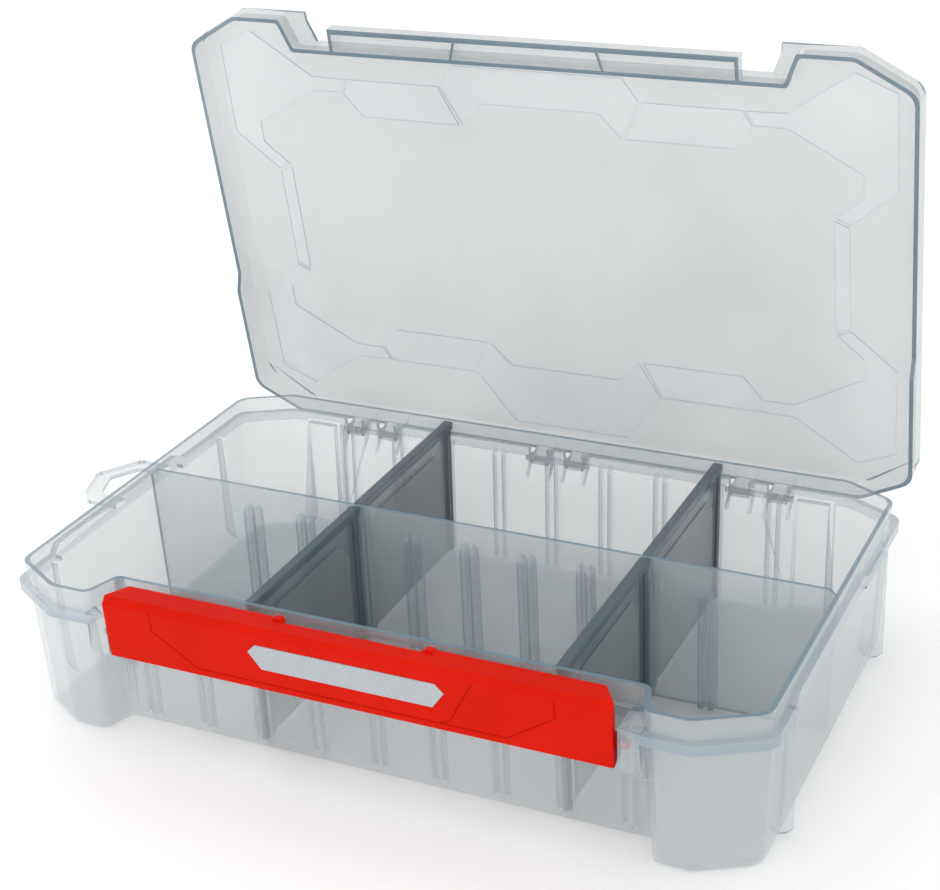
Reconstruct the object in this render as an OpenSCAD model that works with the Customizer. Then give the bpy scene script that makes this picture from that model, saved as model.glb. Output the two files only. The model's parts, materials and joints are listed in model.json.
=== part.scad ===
// Tackle box: a clear tub with a snap-over latch, a hinged lid and lift-out dividers.
// X runs left to right, Y front to back, Z up; the origin is the middle of the tub's underside.

/* [Tub] */
// Length of the rim, left to right
rim_length = 344; // [300:1:420]
// Width of the rim, front to back
rim_width = 215.4; // [190:1:262]
// Height of the rim above the underside
rim_height = 72.2; // [62:0.1:90]
// Thickness of the tub's walls
wall = 2; // [1.4:0.1:3]
// Thickness of the tub's floor
floor_thickness = 2.2; // [1.4:0.1:4]
// Radius of the rounded edge round the underside
base_round = 2.5; // [0.5:0.1:3]
// How far each wall leans in between rim and underside
draft = 2.8; // [0:0.1:4]
// Depth of the recess in the front wall that the latch sits in
recess_depth = 16.3; // [13:0.1:20]
// Length of the recess at its mouth
recess_mouth = 254; // [210:1:262]
// How much shorter the recess is at its back, at each end
recess_taper = 5.4; // [2:0.1:8]

/* [Flange and ribs outside] */
// How far the flange stands out from the rim's line
flange_reach = 3; // [2:0.1:5]
// How far the rim rises above the flange's top face
rim_rise = 9.2; // [8:0.1:14]
// Thickness of the flange
flange_thickness = 4.6; // [3:0.1:6]
// How much higher the flange sits on the stepped stretch of each side
flange_step = 4; // [0:0.1:4]
// Thickness of the stiffening fins on the sides
fin_thickness = 1.5; // [1:0.1:3]
// Width of the two pillars behind the rear wall
pillar_width = 19.6; // [12:0.1:26]
// Reach of the tie loop beyond the flange
loop_reach = 29.7; // [20:0.1:40]
// Width of the tie loop's band
loop_band = 8; // [5:0.1:9]
// Thickness of the tie loop
loop_thickness = 2; // [1.4:0.1:3]

/* [Inside] */
// Thickness of the fixed centre wall
centre_wall_thickness = 2; // [1.4:0.1:3]
// Distance of the centre wall behind the middle of the tub
centre_wall_offset = 7; // [-10:0.1:15]
// Spacing of the divider slots
slot_pitch = 28.4; // [24:0.1:34]
// Width of a divider slot, between its two ribs
slot_width = 2.4; // [2:0.1:4]
// Width of each slot rib
rib_width = 2.4; // [1.5:0.1:4]
// How far each slot rib stands out from its wall
rib_depth = 2.2; // [1.5:0.1:4]
// Distance from the rim down to the slot ribs' tops
rib_drop = 9.5; // [4:0.1:20]

/* [Dividers] */
// Thickness of a divider's web
web_thickness = 1.8; // [1.2:0.1:2]
// Width of the bead along a divider's top and ends
bead_width = 4.6; // [3:0.1:6]
// Gap between a divider and each wall it stands against
divider_gap = 0.4; // [0.2:0.1:1]
// How far a divider stands above the floor's face
divider_lift = 0.3; // [0.2:0.1:1]

/* [Lid] */
// Thickness of the lid's top plate
lid_plate = 1.8; // [1.2:0.1:3]
// Thickness of the lid's skirt
lid_wall = 1.9; // [1.4:0.1:3]
// Room between the rim and the underside of the lid's top plate
lid_headroom = 4.4; // [1:0.1:8]
// Gap between the rim and the skirt at each side
side_gap = 1.1; // [0.3:0.1:2]
// Gap between the rim and the skirt, front and back
end_gap = 0.4; // [0.3:0.1:2]
// Gap between the recess wall and the skirt in front of it
recess_gap = 2.7; // [2.3:0.1:3.5]
// Gap left between the closed skirt and the flange
seat_gap = 0.3; // [0.2:0.1:1]
// How far the lid is turned open from shut, in degrees
lid_open = 80; // [0:1:110]

/* [Hinge] */
// How far the hinge axis lies below the flange's top face
hinge_drop = 7; // [6:0.1:12]
// Distance of the hinge axis behind the rim's line
hinge_setback = 3.3; // [3.1:0.1:6]
// Radius of each hinge bar
bar_radius = 1.5; // [1:0.05:2]
// Radius of the knuckles and ears round the bar
knuckle_radius = 3; // [2.5:0.1:3.4]
// Running clearance of a knuckle on its bar, on the radius
bar_clearance = 0.08; // [0.02:0.01:0.1]
// Spacing of the three hinge groups
hinge_pitch = 104; // [80:1:120]
// Width of one lid knuckle
knuckle_width = 8.5; // [6:0.1:10]
// Thickness of one hinge ear
ear_thickness = 1.9; // [1.4:0.1:3]
// Gap between a knuckle and the ear beside it
knuckle_gap = 0.5; // [0.3:0.1:1]

/* [Latch] */
// Wall thickness of the latch
latch_wall = 1.8; // [1.4:0.1:2.4]
// How far the latch's pivot lies below the flange's top face
latch_pivot_drop = 8.5; // [7:0.1:11]
// How far the latch's bottom edge lies below its pivot
latch_tail = 8.7; // [6:0.1:10]
// Distance of the latch's pivot in front of the recess wall's rim
latch_pivot_reach = 14.1; // [12:0.1:16]
// Distance of the latch's front face in front of its pivot
latch_face_reach = 5.7; // [5:0.1:7]
// Gap between the latch's top flange and the lid's hook bar, locked
latch_hook_gap = 0.6; // [0.4:0.1:1]
// Radius of the latch's stub pins
stub_radius = 2; // [1.5:0.1:2.5]
// Clearance of a stub pin in its socket, on the radius
stub_clearance = 0.08; // [0.02:0.01:0.1]
// Width of each latch post
post_width = 9.6; // [7:0.1:14]
// Gap between the latch's end and the post beside it
post_gap = 1.3; // [0.5:0.1:2]
// How far the latch leans forward of locked, in degrees
latch_lean = 4; // [0:0.5:8]
// Length of the label
label_length = 89.6; // [60:1:110]
// Height of the label
label_height = 11.6; // [8:0.1:14]

/* [Hidden] */
$fn = 48;
arc_steps = 5;              // segments in each rounded corner of a plan outline
overlap = 0.6;              // how far joined volumes run into each other

half_x = rim_length / 2;
half_y = rim_width / 2;
flange_top = rim_height - rim_rise;
corner_radius = 8;          // of the plan's chamfered corners
rear_corner = [24.2, 13];   // run of the chamfer along X and Y
front_corner = [26.5, 15.2];
jog_radius = 4;             // where the recess meets the front wall
recess_lean = 0.9;          // how far the recess wall leans in, over the tub's height

recess_y = -half_y + recess_depth;
centre_y = centre_wall_offset;
floor_top = floor_thickness;
slot_side = floor((recess_mouth / 2 - recess_taper - jog_radius - rib_width - slot_width / 2) / slot_pitch);
divider_slots = [-2, 3];    // which slots hold the left and the right dividers

fin_y = [-half_y + 38.7, half_y - 34.4];
kink_y = [half_y - 76.2, half_y - 67.7];       // where the lid's skirt and the side flanges slope down
step_y = [-half_y + 37.7, kink_y[1] - seat_gap];   // ends of the raised stretch of the side flanges
pillar_x = half_x - 40.7;    // middle of each rear pillar
pillar_front = half_y - draft - 2 * wall;
loop_y = [-17.3, 29.8];     // ends of the tie loop along the left side

hinge_y = half_y + hinge_setback;
hinge_height = flange_top - hinge_drop;
hinge_x = [-hinge_pitch, 0, hinge_pitch];
inner_ear_x = 3.7;          // middle of each inner ear, from the group's middle
knuckle_x = inner_ear_x + ear_thickness / 2 + knuckle_gap + knuckle_width / 2;
outer_ear_x = knuckle_x + knuckle_width / 2 + knuckle_gap + ear_thickness / 2;
group_half = outer_ear_x + ear_thickness / 2;
ear_root = hinge_height - 11;
bar_overhang = 0.8;

skirt_edge = flange_top + flange_step + seat_gap;
lid_top = rim_height + lid_headroom + lid_plate;
lid_half_x = half_x + side_gap + lid_wall;
lid_half_y = half_y + end_gap + lid_wall;
lid_recess_y = recess_y - recess_gap - lid_wall;

post_side_gap = 0.6;         // between each latch post and the mouth of the recess
latch_half = recess_mouth / 2 - post_side_gap - post_width - post_gap;
latch_pivot_height = flange_top - latch_pivot_drop;
latch_bottom = latch_pivot_height - latch_tail;
latch_y = recess_y - latch_pivot_reach;
latch_face_y = latch_y - latch_face_reach;
hook_top = skirt_edge + 5.2;
latch_under = hook_top + latch_hook_gap;
latch_top = latch_under + latch_wall;
latch_back_y = latch_y + 6.6;
latch_fold = 2.9;           // size of the fold along the latch's top front edge
latch_corner = 6.5;         // cut at each end of the latch's back edge
post_x = latch_half + post_gap;
post_top = flange_top + 0.6;
post_front_y = recess_y - 18.6;
stub_length = post_gap + 2.8;
hook_half = latch_half - 17;
hook_front_y = latch_face_y + 4.4;
hook_lip = 2.5;
hook_plate = 1.8;
hook_web_x = 35;            // middle of each slanted web inside the hook bar
notch = [68, 3];            // finger notch in the latch's back edge: length and depth
label_z = latch_bottom + 16.1;
label_thickness = 0.6;
label_pocket = 0.4;
label_gap = 0.15;

clear_colour = [0.80, 0.84, 0.87, 0.55];
smoke_colour = [0.42, 0.47, 0.52, 0.9];
latch_colour = [0.88, 0.12, 0.04];
label_colour = [0.75, 0.77, 0.79];

// ---- outlines ------------------------------------------------------------------------------

function unit(v) = v / norm(v);
function left_of(v) = [-v[1], v[0]];

// Moves every edge of a counter-clockwise outline inwards by d.
function inset(p, d) = let(n = len(p)) [
    for (i = [0:n - 1])
        let(a = left_of(unit(p[i] - p[(i + n - 1) % n])), b = left_of(unit(p[(i + 1) % n] - p[i])))
        p[i] + (a + b) * d / (1 + a * b)
];

// Rounds corner i of an outline to radius r[i], with an arc of steps segments.
function rounded(p, r, steps = arc_steps) = let(n = len(p)) [
    for (i = [0:n - 1])
        let(a = unit(p[i] - p[(i + n - 1) % n]), b = unit(p[(i + 1) % n] - p[i]),
            turn = atan2(a[0] * b[1] - a[1] * b[0], a * b),
            start = p[i] - a * r[i] * tan(abs(turn) / 2),
            centre = start + left_of(a) * r[i] * sign(turn))
        for (k = [0:steps])
            let(t = turn * k / steps, v = start - centre)
            centre + [v[0] * cos(t) - v[1] * sin(t), v[0] * sin(t) + v[1] * cos(t)]
];

// Outline with chamfered corners and a recess in the front, counter-clockwise from its front left.
function plan(hx, hy, recess, mouth, taper) = [
    [-hx, -hy + front_corner[1]], [-hx + front_corner[0], -hy],
    [-mouth / 2, -hy], [-mouth / 2 + taper, recess], [mouth / 2 - taper, recess], [mouth / 2, -hy],
    [hx - front_corner[0], -hy], [hx, -hy + front_corner[1]],
    [hx, hy - rear_corner[1]], [hx - rear_corner[0], hy],
    [-hx + rear_corner[0], hy], [-hx, hy - rear_corner[1]]
];
function plan_radii(corner, jog) = [
    corner, corner, jog, jog, jog, jog, corner, corner, corner, corner, corner, corner
];

rim_plan = plan(half_x, half_y, recess_y, recess_mouth, recess_taper);
base_plan = plan(half_x, half_y, recess_y - draft + recess_lean, recess_mouth, recess_taper);
skirt_mouth = recess_mouth - 2 * (side_gap + lid_wall) - 1;
skirt_plan = plan(lid_half_x, lid_half_y, lid_recess_y, skirt_mouth, recess_taper);

function tub_outline(d) = rounded(inset(rim_plan, d), plan_radii(corner_radius, jog_radius));
function base_outline(d) = rounded(inset(base_plan, d), plan_radii(corner_radius, jog_radius));
function lid_outline(d) = rounded(inset(skirt_plan, d), plan_radii(corner_radius, jog_radius / 2));

// Triangles that join the first of a list of points to all the others.
function fan(ids) = [for (i = [1:len(ids) - 2]) [ids[0], ids[i], ids[i + 1]]];
function backwards(faces) = [for (f = faces) [f[2], f[1], f[0]]];

// Face over a plan outline of n points, as three fans: each side's block, then what lies between.
function cap(n, first = 0) = let(m = n / 12) concat(
    fan(concat([first + n - 1], [for (i = [0:4 * m - 1]) first + i])),
    fan(concat([first + 8 * m], [for (i = [4 * m:8 * m - 1]) first + i])),
    fan(concat([first + n - 1, first + 4 * m - 1, first + 4 * m], [for (i = [8 * m:n - 2]) first + i])));

// Solid through a stack of plan outlines, each at its own height.
module loft(rings, heights) {
    n = len(rings[0]);
    last = len(rings) - 1;
    starts = [for (k = [0:last - 1], i = [0:n - 1]) [k * n + i, k * n + (i + 1) % n]];
    polyhedron(
        points = [for (k = [0:last]) for (p = rings[k]) [p[0], p[1], heights[k]]],
        faces = concat(cap(n), backwards(cap(n, last * n)),
                       [for (e = starts) [e[0], e[0] + n, e[1]]],
                       [for (e = starts) [e[0] + n, e[1] + n, e[1]]]));
}

// Places on the leaning walls at height z: x of a side, y of the rear, y of the recess wall.
function lean(z, run) = run * (1 - z / rim_height);
function inner_x(z) = half_x - wall - lean(z, draft);
function inner_rear_y(z) = half_y - wall - lean(z, draft);
function inner_recess_y(z) = recess_y + wall + lean(z, recess_lean);

// Extrudes an outline drawn in Y and Z along X, from x0 to x1.
module along_x(points, x0, x1) {
    translate([x0, 0, 0]) rotate([90, 0, 90]) linear_extrude(x1 - x0) polygon(points);
}

module mirrored_x() {
    children();
    mirror([1, 0, 0]) children();
}

// ---- tub -----------------------------------------------------------------------------------

// Outer shape of the tub, with its underside's edge rounded.
module tub_outside() {
    turns = [0, 30, 60, 90];
    loft([for (a = turns) base_outline(draft + base_round * (1 - sin(a))), tub_outline(0)],
         [for (a = turns) base_round * (1 - cos(a)), rim_height]);
}

module tub_cavity() {
    floor_share = floor_top / rim_height;
    top = 1 + 1 / rim_height;
    lower = base_outline(draft + wall);
    upper = tub_outline(wall);
    loft([for (share = [floor_share, top])
             [for (i = [0:len(lower) - 1]) lower[i] + (upper[i] - lower[i]) * share]],
         [floor_top, rim_height + 1]);
}

// Flange round the rim, notched for each lid knuckle and stepped up along the sides.
module flange() {
    bottom = flange_top - flange_thickness;
    low = bottom + flange_step / 2;
    slope = [4, kink_y[1] - kink_y[0]];
    difference() {
        translate([0, 0, bottom]) linear_extrude(flange_thickness) polygon(tub_outline(-flange_reach));
        for (x = hinge_x, side = [-1, 1])
            translate([x + side * knuckle_x - knuckle_width / 2 - knuckle_gap, half_y - wall / 2, bottom - 1])
                cube([knuckle_width + 2 * knuckle_gap, 2 * flange_reach, flange_thickness + 2]);
        mirrored_x() translate([half_x - wall / 2, step_y[0] + slope[0], bottom - 1])
            cube([2 * flange_reach, step_y[1] - step_y[0] - 2 * slope[0], low - bottom + 1]);
    }
    mirrored_x() along_x([
        [step_y[0], low], [step_y[1], low], [step_y[1], flange_top],
        [step_y[1] - slope[1], flange_top + flange_step], [step_y[0] + slope[0], flange_top + flange_step],
        [step_y[0], flange_top]
    ], half_x - overlap, half_x + flange_reach);
}

// Stiffening fins under the flange, two on each side.
module fins() {
    foot = 5;
    mirrored_x() for (y = fin_y)
        translate([0, y + fin_thickness / 2, 0]) rotate([90, 0, 0]) linear_extrude(fin_thickness)
            polygon([
                [half_x - draft - overlap, foot / 4], [half_x + flange_reach - foot / 2, foot / 2],
                [half_x + flange_reach, foot], [half_x + flange_reach, flange_top - flange_thickness + 1],
                [half_x - overlap, flange_top - flange_thickness + 1]
            ]);
}

// Pillars behind the rear wall, hollow towards the inside.
module pillars() {
    mirrored_x() translate([pillar_x - pillar_width / 2, pillar_front, 0])
        cube([pillar_width, half_y + flange_reach - pillar_front, flange_top - flange_thickness + 1]);
}

module pillar_grooves() {
    mirrored_x() translate([pillar_x - pillar_width / 2 + wall, pillar_front, floor_top])
        cube([pillar_width - 2 * wall, half_y + flange_reach - wall - pillar_front,
              flange_top - flange_thickness - floor_top]);
}

// Flat loop on the left side for a cord or a tether.
module tie_loop() {
    root = -half_x - flange_reach;
    tip = root - loop_reach;
    radii = [0.1, 4, 5, 5, 4, 0.1];
    function outline(root) = [
        [root, loop_y[1]], [tip + 13, loop_y[1]], [tip, loop_y[1] - 20],
        [tip + 6.5, loop_y[0] + 8], [tip + 13, loop_y[0]], [root, loop_y[0]]
    ];
    translate([0, 0, flange_top - loop_thickness - overlap]) difference() {
        union() {
            linear_extrude(loop_thickness) polygon(rounded(outline(root), radii));
            translate([root - overlap, loop_y[0], 0])
                cube([flange_reach, loop_y[1] - loop_y[0], loop_thickness]);
        }
        translate([0, 0, -1]) linear_extrude(loop_thickness + 2)
            polygon(rounded(inset(outline(root + loop_band), loop_band), [0.1, 2, 3, 3, 2, 0.1]));
    }
}

// Posts at the ends of the recess that carry the latch's stub pins.
module latch_posts() {
    gusset_root = latch_bottom - 18.8;
    mirrored_x() difference() {
        along_x([
            [post_front_y, latch_bottom - 0.6], [post_front_y, post_top],
            [recess_y + overlap, post_top], [recess_y + overlap, gusset_root]
        ], post_x, post_x + post_width);
        translate([post_x - 1, latch_y, latch_pivot_height]) rotate([0, 90, 0])
            cylinder(r = stub_radius + stub_clearance, h = stub_length - post_gap + 1.5);
        translate([post_x - 1, recess_y - 3.1, post_top]) rotate([0, 90, 0]) cylinder(r = 2.2, h = 4);
    }
}

// One ear: a gusset on the rear wall with a round end about the hinge axis.
module ear(x) {
    root_y = half_y - draft;
    translate([x, 0, 0]) difference() {
        union() {
            along_x([
                [root_y, ear_root], [hinge_y + knuckle_radius * 0.6, hinge_height - knuckle_radius * 0.8],
                [hinge_y, hinge_height + knuckle_radius], [root_y, hinge_height + knuckle_radius]
            ], -ear_thickness / 2, ear_thickness / 2);
            translate([-ear_thickness / 2, hinge_y, hinge_height]) rotate([0, 90, 0])
                cylinder(r = knuckle_radius, h = ear_thickness);
        }
        translate([-ear_thickness, hinge_y, hinge_height]) rotate([0, 90, 0])
            cylinder(r = bar_radius + 0.01, h = 2 * ear_thickness);
    }
}

module hinge_ears() {
    for (group = hinge_x, x = [-outer_ear_x, -inner_ear_x, inner_ear_x, outer_ear_x]) ear(group + x);
}

// The two ribs of one divider slot at x, standing on a wall at y; side is +1 where they point back.
module slot_ribs(x, y_top, y_base, side) {
    top = rim_height - rib_drop;
    for (s = [-1, 1])
        along_x([
            [y_base - side * overlap, floor_top - overlap], [y_base + side * rib_depth, floor_top - overlap],
            [y_top + side * rib_depth, top - 2 * rib_depth], [y_top - side * overlap, top]
        ], x + s * (slot_width + rib_width) / 2 - rib_width / 2,
           x + s * (slot_width + rib_width) / 2 + rib_width / 2);
}

slots = [for (k = [-slot_side:slot_side]) k * slot_pitch];

// The slot ribs along the recess wall and the rear wall.
module wall_ribs() {
    top = rim_height - rib_drop;
    for (x = slots) {
        slot_ribs(x, inner_recess_y(top), inner_recess_y(0), 1);
        slot_ribs(x, inner_rear_y(top), inner_rear_y(0), -1);
    }
}

module tub() {
    color(clear_colour) {
        difference() {
            union() {
                tub_outside();
                flange();
                fins();
                pillars();
                tie_loop();
                latch_posts();
                hinge_ears();
            }
            difference() {
                union() {
                    tub_cavity();
                    pillar_grooves();
                }
                wall_ribs();
            }
        }
    }
}

module centre_wall() {
    half_t = centre_wall_thickness / 2;
    end_chamfer = 3.5;
    color(clear_colour) {
        translate([0, centre_y + half_t, 0]) rotate([90, 0, 0]) linear_extrude(centre_wall_thickness)
            polygon([
                [-inner_x(floor_top), floor_top], [inner_x(floor_top), floor_top],
                [inner_x(rim_height - end_chamfer), rim_height - end_chamfer],
                [inner_x(rim_height) - end_chamfer, rim_height - 0.2],
                [-inner_x(rim_height) + end_chamfer, rim_height - 0.2],
                [-inner_x(rim_height - end_chamfer), rim_height - end_chamfer]
            ]);
        difference() {
            for (x = slots) {
                slot_ribs(x, centre_y + half_t, centre_y + half_t, 1);
                slot_ribs(x, centre_y - half_t, centre_y - half_t, -1);
            }
            translate([-half_x, centre_y - 10, floor_top - 2]) cube([rim_length, 20, 2]);
        }
    }
}

// ---- dividers ------------------------------------------------------------------------------

// A web from y0 to y1 with beads along its top and, clear of the slot ribs, along both ends.
module divider(x, y0_base, y0_top, y1_base, y1_top) {
    base = floor_top + divider_lift;
    top = rim_height - 0.2;
    step = rib_depth + divider_gap;
    bead = 4;
    color(smoke_colour) {
        along_x([
            [y0_base + divider_gap, base], [y1_base - divider_gap, base],
            [y1_top - divider_gap, top], [y0_top + divider_gap, top]
        ], x - web_thickness / 2, x + web_thickness / 2);
        along_x([
            [y0_top + divider_gap, top - bead], [y1_top - divider_gap, top - bead],
            [y1_top - divider_gap, top], [y0_top + divider_gap, top]
        ], x - bead_width / 2, x + bead_width / 2);
        along_x([
            [y0_base + step, base], [y0_base + step + bead, base],
            [y0_top + step + bead, top - overlap], [y0_top + step, top - overlap]
        ], x - bead_width / 2, x + bead_width / 2);
        along_x([
            [y1_base - step - bead, base], [y1_base - step, base],
            [y1_top - step, top - overlap], [y1_top - step - bead, top - overlap]
        ], x - bead_width / 2, x + bead_width / 2);
    }
}

module front_divider(slot) {
    face = centre_y - centre_wall_thickness / 2;
    divider(slot * slot_pitch, inner_recess_y(0), inner_recess_y(rim_height), face, face);
}

module rear_divider(slot) {
    face = centre_y + centre_wall_thickness / 2;
    divider(slot * slot_pitch, face, face, inner_rear_y(0), inner_rear_y(rim_height));
}

module divider_front_left() { front_divider(divider_slots[0]); }
module divider_rear_left() { rear_divider(divider_slots[0]); }
module divider_front_right() { front_divider(divider_slots[1]); }
module divider_rear_right() { rear_divider(divider_slots[1]); }

// ---- lid -----------------------------------------------------------------------------------

// Bar across the front recess that the latch's top flange closes over.
module hook_bar() {
    back = lid_recess_y + lid_wall / 2;
    translate([-hook_half, hook_front_y, skirt_edge]) cube([2 * hook_half, hook_lip, hook_top - skirt_edge]);
    translate([-hook_half, hook_front_y, hook_top - hook_plate])
        cube([2 * hook_half, back - hook_front_y, hook_plate]);
    mirrored_x() {
        translate([hook_half - hook_plate, hook_front_y, skirt_edge])
            cube([hook_plate, back - hook_front_y, hook_top - skirt_edge]);
        translate([0, 0, skirt_edge]) linear_extrude(hook_top - skirt_edge) polygon([
            [hook_web_x - 2, hook_front_y], [hook_web_x - 0.8, hook_front_y],
            [hook_web_x + 2.6, back], [hook_web_x + 1.4, back]
        ]);
    }
}

// Knuckle on the lid: a round end about the hinge axis and an arm up to the skirt.
module knuckle(x) {
    arm = hinge_y + 2;
    translate([x - knuckle_width / 2, 0, 0]) difference() {
        union() {
            translate([0, hinge_y, hinge_height]) rotate([0, 90, 0])
                cylinder(r = knuckle_radius, h = knuckle_width);
            along_x([
                [half_y + 2 * end_gap, hinge_height], [arm, hinge_height], [arm, skirt_edge],
                [lid_half_y - overlap, lid_top - 4], [half_y + 2 * end_gap, lid_top - 4]
            ], 0, knuckle_width);
        }
        translate([-1, hinge_y, hinge_height]) rotate([0, 90, 0])
            cylinder(r = bar_radius + bar_clearance, h = knuckle_width + 2);
    }
}

module lid_shut() {
    low = skirt_edge - flange_step;
    difference() {
        union() {
            difference() {
                translate([0, 0, low]) linear_extrude(lid_top - low) polygon(lid_outline(0));
                translate([0, 0, low - 1]) linear_extrude(lid_top - lid_plate - low + 1)
                    polygon(lid_outline(lid_wall));
            }
            mirrored_x() translate([0, 0, lid_top - lid_plate]) linear_extrude(lid_plate) polygon([
                [skirt_mouth / 2 + 2, -lid_half_y], [latch_half - 0.9, -lid_half_y],
                [latch_half - 1.1, -lid_half_y + 4], [latch_half - 5.5, lid_recess_y + 1],
                [skirt_mouth / 2 + 2, lid_recess_y + 1]
            ]);
        }
        // the skirt is shallower in front of the kink
        along_x([
            [-rim_width, low - 1], [kink_y[1], low - 1], [kink_y[1], low], [kink_y[0], skirt_edge],
            [-rim_width, skirt_edge]
        ], -rim_length, rim_length);
    }
    hook_bar();
    for (group = hinge_x, s = [-1, 1]) knuckle(group + s * knuckle_x);
}

module lid() {
    color(clear_colour)
        translate([0, hinge_y, hinge_height]) rotate([-lid_open, 0, 0])
            translate([0, -hinge_y, -hinge_height]) lid_shut();
}

// ---- latch ---------------------------------------------------------------------------------

module lean_latch() {
    translate([0, latch_y, latch_pivot_height]) rotate([latch_lean, 0, 0])
        translate([0, -latch_y, -latch_pivot_height]) children();
}

// Label outline in X and Z, six-sided, grown by g.
function label_outline(g) = let(h = label_length / 2 + g, t = label_height / 2 + g) [
    [-h, label_height / 6], [-h + 5.6, -t], [h - 5.6, -t], [h, label_height / 6], [h - 3.8, t], [-h + 3.8, t]
];

module label_block(g, y0, y1) {
    translate([0, y1, label_z]) rotate([90, 0, 0]) linear_extrude(y1 - y0) polygon(label_outline(g));
}

module latch_locked() {
    inner_y = latch_face_y + latch_wall;
    difference() {
        union() {
            along_x([
                [latch_face_y, latch_bottom], [latch_face_y, latch_top - latch_fold],
                [latch_face_y + latch_fold, latch_top], [latch_back_y, latch_top],
                [latch_back_y, latch_under], [latch_face_y + latch_fold + 0.7, latch_under],
                [inner_y, latch_top - latch_fold - 0.7], [inner_y, latch_bottom]
            ], -latch_half, latch_half);
            mirrored_x() along_x([
                [latch_face_y + 0.2, latch_bottom + 0.5], [inner_y + 1, latch_bottom + 0.5],
                [latch_y + 3, latch_pivot_height - 3], [latch_y + 4, latch_pivot_height + 1],
                [latch_y + 2.6, latch_pivot_height + 3.4], [inner_y + 1.6, latch_pivot_height + 6.5],
                [inner_y + 1.6, latch_under + 0.5], [latch_face_y + latch_fold, latch_under + 0.5],
                [latch_face_y + 0.2, latch_top - latch_fold - 0.5]
            ], latch_half - latch_wall, latch_half);
        }
        // cut corners and finger notch along the back edge
        mirrored_x() translate([0, 0, latch_under - 1]) linear_extrude(latch_wall + 2) polygon([
            [latch_half - latch_corner, latch_back_y + 1], [latch_half - latch_corner, latch_back_y],
            [latch_half + 0.1, latch_face_y + latch_fold + 0.1], [latch_half + 5, latch_back_y + 1]
        ]);
        translate([0, 0, latch_under - 1]) linear_extrude(latch_wall + 2) polygon([
            [-notch[0] / 2, latch_back_y + 1], [-notch[0] / 2 + notch[1], latch_back_y - notch[1]],
            [notch[0] / 2 - notch[1], latch_back_y - notch[1]], [notch[0] / 2, latch_back_y + 1]
        ]);
        label_block(label_gap, latch_face_y - 1, latch_face_y + label_pocket);
    }
    mirrored_x() translate([latch_half - latch_wall / 2, latch_y, latch_pivot_height])
        rotate([0, 90, 0]) cylinder(r = stub_radius, h = stub_length + latch_wall / 2);
}

module latch() { color(latch_colour) lean_latch() latch_locked(); }

module label() {
    color(label_colour) lean_latch()
        label_block(0, latch_face_y + label_pocket - label_thickness, latch_face_y + label_pocket);
}

// ---- hinge bars ----------------------------------------------------------------------------

module hinge_bar(x) {
    half = group_half + bar_overhang;
    color(clear_colour) translate([x - half, hinge_y, hinge_height]) rotate([0, 90, 0])
        cylinder(r = bar_radius, h = 2 * half);
}

module hinge_bar_left() { hinge_bar(hinge_x[0]); }
module hinge_bar_centre() { hinge_bar(hinge_x[1]); }
module hinge_bar_right() { hinge_bar(hinge_x[2]); }

tub();
centre_wall();
lid();
latch();
label();
hinge_bar_left();
hinge_bar_centre();
hinge_bar_right();
divider_front_left();
divider_rear_left();
divider_front_right();
divider_rear_right();
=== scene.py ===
"""A clear tackle box with a red latch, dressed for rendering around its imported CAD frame."""
import json
import math

import bmesh
import bpy
from mathutils import Matrix, Vector
from mathutils.bvhtree import BVHTree


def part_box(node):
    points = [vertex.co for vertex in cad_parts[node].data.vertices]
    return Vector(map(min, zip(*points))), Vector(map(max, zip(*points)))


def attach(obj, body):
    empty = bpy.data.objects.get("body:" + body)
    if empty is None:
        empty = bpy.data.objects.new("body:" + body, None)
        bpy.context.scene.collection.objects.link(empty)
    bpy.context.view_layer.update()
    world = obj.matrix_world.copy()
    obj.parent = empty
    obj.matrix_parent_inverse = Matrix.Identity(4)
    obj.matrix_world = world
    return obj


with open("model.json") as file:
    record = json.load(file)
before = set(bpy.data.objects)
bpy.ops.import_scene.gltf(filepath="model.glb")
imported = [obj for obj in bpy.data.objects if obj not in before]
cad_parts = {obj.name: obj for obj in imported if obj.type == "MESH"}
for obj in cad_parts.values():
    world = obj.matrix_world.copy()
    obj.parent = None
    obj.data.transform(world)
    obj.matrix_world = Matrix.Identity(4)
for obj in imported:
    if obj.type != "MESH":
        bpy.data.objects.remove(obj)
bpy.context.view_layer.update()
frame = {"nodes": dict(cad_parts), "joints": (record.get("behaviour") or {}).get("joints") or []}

MM = 0.001


# ---- what the frame says --------------------------------------------------------------------

def joint(name):
    return next(j for j in frame["joints"] if j["name"] == name)


LID_AXIS = Vector(joint("lid_hinge")["pos_m"])
LID_OPEN = -math.radians(joint("lid_hinge")["range_deg"][0])
LATCH_AXIS = Vector(joint("latch_hinge")["pos_m"])
LATCH_LEAN = -math.radians(joint("latch_hinge")["range_deg"][0])


def about_x(angle, pivot):
    """Turn by an angle about a line along X through a point."""
    return Matrix.Translation(pivot) @ Matrix.Rotation(angle, 4, "X") @ Matrix.Translation(-pivot)


def points_before(turn, node):
    """A node's points as they were before the turn that took it to where it rests."""
    return [turn.inverted() @ v.co for v in frame["nodes"][node].data.vertices]


LID_TURN = about_x(-LID_OPEN, LID_AXIS)        # takes the shut lid to where it rests
LATCH_TURN = about_x(LATCH_LEAN, LATCH_AXIS)   # takes the locked latch to where it rests
LID_THICKNESS = 1.8 * MM                       # of the plate, without its skirt and lips
LID_INSIDE = max(p.z for p in points_before(LID_TURN, "lid")) - LID_THICKNESS
LOCKED = points_before(LATCH_TURN, "latch")
LATCH_FACE = min(p.y for p in LOCKED)
LATCH_TOP = max(p.z for p in LOCKED)
LATCH_BACK = max(p.y for p in LOCKED if p.z > LATCH_TOP - 1 * MM)


# ---- materials ------------------------------------------------------------------------------

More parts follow.
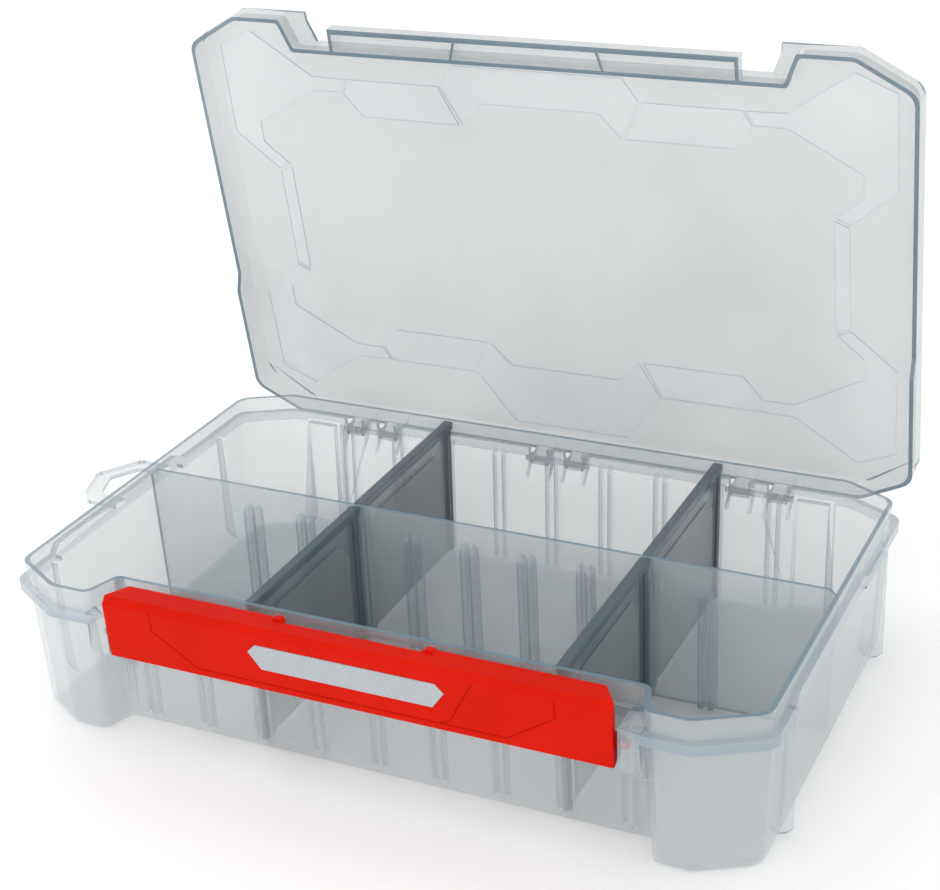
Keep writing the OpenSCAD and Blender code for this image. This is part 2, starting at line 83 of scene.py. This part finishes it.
class Nodes:
    """Short names for the nodes that the materials are made of."""

    def __init__(self, name):
        self.material = bpy.data.materials.new(name)
        self.material.use_nodes = True
        self.tree = self.material.node_tree
        self.shader = self.tree.nodes["Principled BSDF"]
        self.place = self.add("ShaderNodeTexCoord").outputs["Object"]

    def add(self, kind, **values):
        node = self.tree.nodes.new(kind)
        for key, value in values.items():
            setattr(node, key, value)
        return node

    def link(self, source, node, socket):
        self.tree.links.new(source, node.inputs[socket])

    def noise(self, scale, detail=3.0, roughness=0.5):
        node = self.add("ShaderNodeTexNoise")
        node.inputs["Scale"].default_value = scale
        node.inputs["Detail"].default_value = detail
        node.inputs["Roughness"].default_value = roughness
        self.link(self.place, node, "Vector")
        return node.outputs["Fac"]

    def span(self, source, low, high, start=0.0, end=1.0):
        """Maps start..end of a value to low..high."""
        node = self.add("ShaderNodeMapRange")
        for key, value in zip(("From Min", "From Max", "To Min", "To Max"), (start, end, low, high)):
            node.inputs[key].default_value = value
        self.link(source, node, "Value")
        return node.outputs["Result"]

    def blend(self, factor, first, second):
        node = self.add("ShaderNodeMix", data_type="RGBA")
        node.inputs[6].default_value = (*first, 1)
        node.inputs[7].default_value = (*second, 1)
        self.link(factor, node, 0)
        return node.outputs[2]

    def math(self, operation, first, second):
        node = self.add("ShaderNodeMath", operation=operation)
        for index, value in enumerate((first, second)):
            if isinstance(value, (int, float)):
                node.inputs[index].default_value = value
            else:
                self.tree.links.new(value, node.inputs[index])
        return node.outputs[0]

    def bump(self, height, strength, distance):
        node = self.add("ShaderNodeBump")
        node.inputs["Strength"].default_value = strength
        node.inputs["Distance"].default_value = distance
        self.link(height, node, "Height")
        self.link(node.outputs["Normal"], self.shader, "Normal")

    def set(self, **values):
        for key, value in values.items():
            self.shader.inputs[key.replace("_", " ")].default_value = value


def translucent(name, tone, alpha, edge_alpha):
    """Clear or smoky moulded plastic: thin to look through face on, denser seen edge on."""
    n = Nodes(name)
    n.set(IOR=1.49, Specular_IOR_Level=0.5, Coat_Weight=0.35, Coat_Roughness=0.06)
    flow = n.noise(scale=9, detail=4)          # faint flow marks of the moulding
    pale = [1.05 * value for value in tone]
    deep = [0.93 * value for value in tone]
    n.link(n.blend(n.span(flow, 0, 1, start=0.3, end=0.7), pale, deep), n.shader, "Base Color")
    weight = n.add("ShaderNodeLayerWeight")
    weight.inputs["Blend"].default_value = 0.35
    facing = n.math("POWER", weight.outputs["Facing"], 3)
    cloud = n.span(flow, 0.9, 1.1, start=0.3, end=0.7)
    n.link(n.math("MULTIPLY", n.span(facing, alpha, edge_alpha), cloud), n.shader, "Alpha")
    n.link(n.span(n.noise(scale=60), 0.12, 0.22), n.shader, "Roughness")
    n.bump(n.noise(scale=14, detail=2), strength=0.12, distance=0.4 * MM)
    return n.material


def red_plastic(name, dark, light):
    """Opaque moulded plastic with a fine matt grain."""
    n = Nodes(name)
    n.set(IOR=1.46, Specular_IOR_Level=0.06)
    tint = n.span(n.noise(scale=25, detail=4), 0, 1, start=0.35, end=0.65)
    n.link(n.blend(tint, dark, light), n.shader, "Base Color")
    n.link(n.span(n.noise(scale=90), 0.36, 0.48), n.shader, "Roughness")
    n.bump(n.noise(scale=900, detail=2), strength=0.12, distance=0.06 * MM)
    return n.material


def label_sheet():
    """Pale speckled sheet of the blank label."""
    n = Nodes("label_grey")
    n.set(IOR=1.45, Roughness=0.6)
    grain = n.noise(scale=1400, detail=2, roughness=0.7)
    speckle = n.span(grain, 0, 1, start=0.42, end=0.6)
    n.link(n.blend(speckle, (0.40, 0.43, 0.46), (0.46, 0.49, 0.52)), n.shader, "Base Color")
    n.bump(grain, strength=0.1, distance=0.03 * MM)
    return n.material


# Each: name, colour, alpha seen face on, alpha seen edge on.
CLEAR = translucent("clear_plastic", (0.655, 0.705, 0.72), 0.27, 0.85)
CLEAR_THICK = translucent("clear_thick", (0.38, 0.46, 0.52), 0.46, 0.88)
CLEAR_EDGE = translucent("clear_edge", (0.13, 0.21, 0.27), 0.75, 0.93)
CENTRE = translucent("centre_wall_plastic", (0.54, 0.60, 0.63), 0.31, 0.85)
CENTRE_RIB = translucent("centre_wall_rib", (0.28, 0.37, 0.43), 0.46, 0.88)
LID = translucent("lid_plastic", (0.46, 0.50, 0.51), 0.36, 0.85)
LID_EDGE = translucent("lid_edge", (0.09, 0.16, 0.21), 0.88, 0.95)
LID_PAD = translucent("lid_pad", (0.84, 0.92, 0.94), 0.20, 0.4)
LID_LINE = translucent("lid_line", (0.16, 0.24, 0.29), 0.75, 0.9)
SMOKY = translucent("smoky_plastic", (0.16, 0.195, 0.22), 0.60, 0.95)
SMOKY_EDGE = translucent("smoky_edge", (0.06, 0.092, 0.12), 0.80, 0.97)
SMOKY_PANEL = translucent("smoky_panel", (0.30, 0.34, 0.36), 0.42, 0.9)
RED = red_plastic("latch_red", (0.60, 0.008, 0.0015), (0.65, 0.010, 0.002))
# A darker copy of the latch red for the slopes of the latch's raised lines: painted shade of the
# engraved grooves.
RED_GROOVE_PAINTED_SHADE = red_plastic("latch_red_painted_shade", (0.45, 0.004, 0.001), (0.49, 0.005, 0.001))
LABEL = label_sheet()


# ---- CAD nodes ------------------------------------------------------------------------------

# Each limit: the least depth of plastic behind a face, and the most width of the face.
THICK = (3.4 * MM, 6 * MM)     # ribs, posts and flange
RIM = (9 * MM, 2.6 * MM)       # rims seen from above
LID_RIM = (4 * MM, 2.6 * MM)   # the skirt's edge and the hook bar


def see_depth(mesh, limits):
    """Gives each face the material of the last limit that it meets, or the first material."""
    tree = BVHTree.FromPolygons([v.co for v in mesh.vertices], [p.vertices for p in mesh.polygons])
    start = 0.05 * MM          # the ray starts inside, clear of the face that it leaves
    for polygon in mesh.polygons:
        hit = tree.ray_cast(polygon.center - polygon.normal * start, -polygon.normal)
        depth = (hit[3] or 0) + start
        corners = [mesh.vertices[i].co for i in polygon.vertices]
        longest = max((a - b).length for a, b in zip(corners, corners[1:] + corners[:1]))
        width = 2 * polygon.area / longest
        fits = [i + 1 for i, (deep, wide) in enumerate(limits) if depth > deep and width < wide]
        polygon.material_index = max(fits, default=0)


def round_edges(piece, width):
    bevel = piece.modifiers.new("edges", "BEVEL")
    bevel.width = width
    bevel.segments = 2
    bevel.limit_method = "ANGLE"
    bevel.angle_limit = math.radians(28)
    bevel.harden_normals = True


def dress(node, materials, edge, limits=()):
    """Gives a CAD node its materials and moulded, rounded edges, as modifiers over its mesh."""
    piece = frame["nodes"][node]
    piece.data.materials.clear()
    for material in materials:
        piece.data.materials.append(material)
    see_depth(piece.data, limits)
    weld = piece.modifiers.new("weld", "WELD")
    weld.merge_threshold = 0.005 * MM
    flat = piece.modifiers.new("flat", "DECIMATE")
    flat.decimate_type = "DISSOLVE"
    flat.delimit = {"MATERIAL"}
    flat.angle_limit = math.radians(0.6)
    round_edges(piece, edge)


for name in frame["nodes"]:
    if name.startswith("divider"):
        dress(name, [SMOKY, SMOKY_EDGE], edge=0.4 * MM, limits=[THICK])
    elif name == "latch":
        dress(name, [RED], edge=0.5 * MM)
    elif name == "label":
        dress(name, [LABEL], edge=0.1 * MM)
    elif name == "lid":
        dress(name, [LID, LID_EDGE], edge=0.3 * MM, limits=[LID_RIM])
    elif name == "centre_wall":
        dress(name, [CENTRE, CENTRE_RIB, CLEAR_EDGE], edge=0.3 * MM, limits=[THICK, RIM])
    else:
        dress(name, [CLEAR, CLEAR_THICK, CLEAR_EDGE], edge=0.3 * MM, limits=[THICK, RIM])


# ---- raised details -------------------------------------------------------------------------

def make_piece(name, mesh, turn, body, materials):
    """Turns a bmesh into a piece that rides on a body."""
    data = bpy.data.meshes.new(name)
    mesh.transform(turn)
    mesh.to_mesh(data)
    mesh.free()
    piece = bpy.data.objects.new(name, data)
    for material in materials:
        data.materials.append(material)
    bpy.context.scene.collection.objects.link(piece)
    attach(piece, body)
    return piece


def add_skin(mesh, rings):
    """A closed surface over rings of vertices, with a face at each end."""
    for first, second in zip(rings, rings[1:]):
        for k in range(len(first)):
            after = (k + 1) % len(first)
            mesh.faces.new((first[k], first[after], second[after], second[k]))
    mesh.faces.new(rings[0])
    mesh.faces.new(rings[-1])


def ridge_mesh(lines, width, height):
    """Low ridges with sloping sides along open lines of (x, y), standing up along Z."""
    section = [(-0.5, 0), (-0.22, 1), (0.22, 1), (0.5, 0)]    # shares of the width and the height
    mesh = bmesh.new()
    for points in lines:
        points = [Vector(p) for p in points]
        steps = [(after - point).normalized() for point, after in zip(points, points[1:])]
        rings = []
        for point, arrive, leave in zip(points, steps[:1] + steps, steps + steps[-1:]):
            along = (arrive + leave).normalized()
            across = Vector((-along.y, along.x)) / along.dot(leave)
            rings.append([mesh.verts.new((*(point + across * width * side), height * up))
                          for side, up in section])
        add_skin(mesh, rings)
    bmesh.ops.recalc_face_normals(mesh, faces=mesh.faces)
    return mesh


def pad_mesh(outlines, slope, height, places=(Matrix(),)):
    """Low flat pads with sloping sides over closed outlines; the flats take the second material."""
    mesh = bmesh.new()
    for place in places:
        for points in outlines:
            top = mesh.faces.new([mesh.verts.new((x, y, 0)) for x, y in points])
            bmesh.ops.inset_region(mesh, faces=[top], thickness=slope, use_boundary=True)
            for vert in top.verts:
                vert.co.z = height
            top.material_index = 1
            pad = {v for vert in top.verts for edge in vert.link_edges for v in edge.verts}
            bmesh.ops.transform(mesh, matrix=place, verts=list(pad))
    bmesh.ops.recalc_face_normals(mesh, faces=mesh.faces)
    return mesh


def mirrored(points, sx, sy):
    return [(x * sx, y * sy) for x, y in points]


def lid_pattern():
    """Pads moulded inside the lid: four corners, two side strips, four blocks and two panels."""
    corner = [(98, 77.8), (116.3, 78.2), (146, 99.2), (164, 91), (164.5, 45.5), (143.5, 27.2),
              (137, 30), (149.6, 41.2), (149.6, 52), (116.5, 71), (101.5, 71.2)]
    block = [(50, 77.9), (96.5, 77.9), (100.5, 70.7), (91.5, 59.3), (41.3, 59.3)]
    strip = [(136.4, -28.6), (143, -25.8), (143, 25.8), (136.4, 28.6)]
    outlines = []
    for sx in (-1, 1):
        outlines.append(mirrored(strip, sx, 1))
        for sy in (-1, 1):
            outlines.append(mirrored(corner, sx, sy))
            outlines.append(mirrored(block, sx, sy))
    # The panel by the hinge reaches further out than the one by the latch, and ends narrower.
    for sy, reach, half in ((-1, 89, 41.5), (1, 104.8, 30.2)):
        panel = [(48.8, 78), (half, reach), (-half, reach), (-48.8, 78), (-39.3, 59.8), (-29, 71),
                 (29, 71), (39.3, 59.8)]
        outlines.append(mirrored(panel, 1, sy))
    outlines = [[(x * MM, y * MM) for x, y in points] for points in outlines]
    under = Matrix.Translation((0, 0, LID_INSIDE)) @ Matrix.Scale(-1, 4, (0, 0, 1))
    mesh = pad_mesh(outlines, slope=0.8 * MM, height=0.4 * MM)
    make_piece("lid_pattern", mesh, LID_TURN @ under, "lid", [LID_LINE, LID_PAD])


def latch_lines():
    """Raised lines on the latch's face: a long framed panel, and a short slant right of the label."""
    top, shoulder, foot = 72.2, 63.4, 48.9
    outline = [(-92, top), (-92, shoulder), (-71, foot), (71, foot), (92, shoulder), (92, top)]
    slant = [(57, 71), (46.6, 51.4), (41.7, foot)]
    lines = [[(x * MM, z * MM) for x, z in points] for points in (outline, slant)]
    sunk = 0.05 * MM
    face = Matrix.Translation((0, LATCH_FACE + sunk, 0)) @ Matrix.Rotation(math.pi / 2, 4, "X")
    mesh = ridge_mesh(lines, width=0.55 * MM, height=0.3 * MM)
    # The lines take the darker red, which is painted shade along the grooves, not a colour of the
    # latch.
    make_piece("latch_lines", mesh, LATCH_TURN @ face, "latch", [RED_GROOVE_PAINTED_SHADE])


def latch_notch_ends():
    """Small raised ends of the finger notch in the latch's back edge."""
    half, rise = 34.6 * MM, 1.3 * MM           # half the notch's width, and how high its ends stand
    front, back = LATCH_BACK - 3.1 * MM, LATCH_BACK - 0.1 * MM
    profile = [(-3.2 * MM, -0.4), (-1.4 * MM, 1), (1.6 * MM, 1), (4 * MM, -0.4)]
    mesh = bmesh.new()
    for side in (-1, 1):
        add_skin(mesh, [[mesh.verts.new((side * (half + x), y, LATCH_TOP + share * rise))
                         for x, share in profile] for y in (front, back)])
    bmesh.ops.recalc_face_normals(mesh, faces=mesh.faces)
    piece = make_piece("latch_notch_ends", mesh, LATCH_TURN, "latch", [RED])
    round_edges(piece, 0.35 * MM)


def divider_panels(node):
    """The raised inner panel on both sides of a divider's web, with its upper corners cut."""
    web, inset, foot, cut = 1.8 * MM, 11 * MM, 4 * MM, 9 * MM
    low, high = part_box(node)
    middle = (low.x + high.x) / 2
    y0, y1 = low.y + inset, high.y - inset
    z0, z1 = low.z + foot, high.z - inset
    outline = [(y0, z0), (y1, z0), (y1, z1 - cut), (y1 - cut, z1), (y0 + cut, z1), (y0, z1 - cut)]
    sides = [Matrix(((0, 0, side, middle + side * web / 2), (1, 0, 0, 0), (0, 1, 0, 0), (0, 0, 0, 1)))
             for side in (-1, 1)]
    mesh = pad_mesh([outline], slope=0.6 * MM, height=0.35 * MM, places=sides)
    make_piece(node + "_panels", mesh, Matrix(), node, [SMOKY_EDGE, SMOKY_PANEL])


lid_pattern()
latch_lines()
latch_notch_ends()
for name in frame["nodes"]:
    if name.startswith("divider"):
        divider_panels(name)


# ---- stage ----------------------------------------------------------------------------------

def make_floor():
    n = Nodes("stage_floor")
    n.set(Base_Color=(0.98, 0.98, 0.98, 1), Roughness=0.6)
    gap = 0.05 * MM            # keeps the floor off the box's underside
    bpy.ops.mesh.primitive_plane_add(size=12, location=(0, 0, -gap))
    floor = bpy.context.object
    floor.name = "stage_floor"
    floor.data.materials.append(n.material)


def make_light(name, place, target, size, power):
    data = bpy.data.lights.new(name, "AREA")
    data.shape = "DISK"
    data.size = size
    data.energy = power
    light = bpy.data.objects.new(name, data)
    light.location = place
    light.rotation_euler = (Vector(target) - Vector(place)).to_track_quat("-Z", "Y").to_euler()
    bpy.context.scene.collection.objects.link(light)


def make_world():
    world = bpy.data.worlds.new("studio")
    world.use_nodes = True
    world.node_tree.nodes["Background"].inputs["Color"].default_value = (1, 1, 1, 1)
    world.node_tree.nodes["Background"].inputs["Strength"].default_value = 1.0
    bpy.context.scene.world = world


def make_camera():
    """A camera at the photograph's viewing angle."""
    yaw, pitch, roll = (math.radians(a) for a in (26.07, -24.96, -2.68))
    level = Vector((math.cos(yaw), math.sin(yaw), 0))
    ahead = Vector((-math.sin(yaw), math.cos(yaw), 0))
    forward = ahead * math.cos(pitch) + Vector((0, 0, math.sin(pitch)))
    upright = level.cross(forward)
    right = level * math.cos(roll) + upright * math.sin(roll)
    up = upright * math.cos(roll) - level * math.sin(roll)
    data = bpy.data.cameras.new("camera")
    data.lens = 73.84
    data.sensor_width = 36
    data.shift_x = -0.0037
    data.shift_y = -0.0078
    data.clip_start = 0.02
    data.clip_end = 50
    camera = bpy.data.objects.new("camera", data)
    turn = Matrix((right, up, -forward)).transposed().to_4x4()
    camera.matrix_world = Matrix.Translation((0.3425, -0.6830, 0.4734)) @ turn
    bpy.context.scene.collection.objects.link(camera)
    bpy.context.scene.camera = camera


make_floor()
make_world()
make_light("key", place=(0.3, -2.4, 0.9), target=(0, 0, 0.08), size=1.6, power=11)
make_light("fill", place=(-1.4, 0.6, 1.8), target=(0, 0, 0.05), size=1.6, power=6)
make_camera()
bpy.context.scene.view_settings.view_transform = "Standard"
